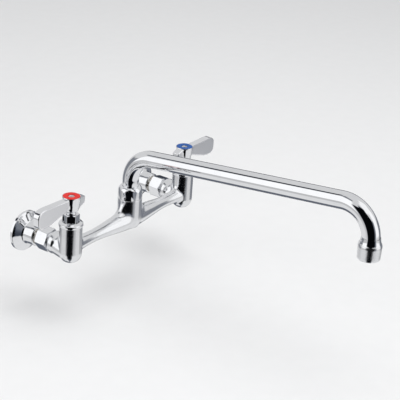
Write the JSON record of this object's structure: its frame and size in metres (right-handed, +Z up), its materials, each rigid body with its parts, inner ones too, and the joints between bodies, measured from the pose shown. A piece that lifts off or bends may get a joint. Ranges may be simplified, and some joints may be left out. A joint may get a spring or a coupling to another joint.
{
  "type": "wall-mounted kitchen faucet",
  "caption": "Wall-mounted kitchen faucet with a swing spout, quarter-turn lever valves with red and blue index rings, a bridge body and flanged inlets.",
  "frame": {"origin": "on the wall plane, midway between the two inlets, at the height of their axes", "axes": "+X to the cold side, +Y into the wall, +Z up; the spout points along -Y at rest"},
  "size_m": [0.3152, 0.3841, 0.1406],
  "materials": {
    "chrome_casting": "polished chrome plate on a brass casting",
    "chrome_machined": "polished chrome plate on turned brass, fine tool marks under the plate",
    "chrome_tube": "polished chrome plate on drawn tube",
    "chrome_lever": "chrome plate over a satin-ground casting, polished at its edges",
    "brass_stem": "bare turned brass",
    "spring_bronze": "rolled bronze strip",
    "black_rubber": "moulded rubber",
    "ceramic_disc": "lapped alumina",
    "steel_screw": "stainless, machined",
    "steel_mesh": "stainless, perforated",
    "white_plastic": "acetal, moulded",
    "hot_index": "moulded, red right through",
    "cold_index": "moulded, blue right through"
  },
  "bodies": {
    "base": {"faucet_body": "chrome_casting", "hot_inlet_flange": "chrome_casting", "hot_coupling_nut": "chrome_machined", "hot_nut_retainer": "spring_bronze", "hot_inlet_washer": "black_rubber", "hot_bonnet": "chrome_machined", "hot_bonnet_ring": "chrome_machined", "hot_stem_seal": "black_rubber", "hot_seat_seal": "black_rubber", "hot_fixed_disc": "ceramic_disc", "cold_inlet_flange": "chrome_casting", "cold_coupling_nut": "chrome_machined", "cold_nut_retainer": "spring_bronze", "cold_inlet_washer": "black_rubber", "cold_bonnet": "chrome_machined", "cold_bonnet_ring": "chrome_machined", "cold_stem_seal": "black_rubber", "cold_seat_seal": "black_rubber", "cold_fixed_disc": "ceramic_disc", "spout_nut": "chrome_machined", "spout_thrust_washer": "white_plastic", "spout_seals": "black_rubber"},
    "spout": {"spout_tube": "chrome_tube", "spout_collar": "brass_stem", "outlet_bell": "chrome_machined", "aerator_shell": "chrome_machined", "aerator_washer": "black_rubber", "aerator_core": "white_plastic", "aerator_screen": "steel_mesh"},
    "hot_handle": {"hot_lever": "chrome_lever", "hot_index_ring": "hot_index", "hot_lever_screw": "steel_screw", "hot_stem": "chrome_machined", "hot_rotor_disc": "ceramic_disc"},
    "cold_handle": {"cold_lever": "chrome_lever", "cold_index_ring": "cold_index", "cold_lever_screw": "steel_screw", "cold_stem": "chrome_machined", "cold_rotor_disc": "ceramic_disc"}
  },
  "joints": [
    {"name": "spout_swivel", "type": "hinge", "parent": "base", "child": "spout", "pos_m": [0, -0.067, 0.03], "axis": [0, 0, 1], "range_deg": [-90, 90]},
    {"name": "hot_turn", "type": "hinge", "parent": "base", "child": "hot_handle", "pos_m": [-0.1016, -0.067, 0.04], "axis": [0, 0, 1], "range_deg": [0, 90]},
    {"name": "cold_turn", "type": "hinge", "parent": "base", "child": "cold_handle", "pos_m": [0.1016, -0.067, 0.04], "axis": [0, 0, 1], "range_deg": [-90, 0]}
  ]
}
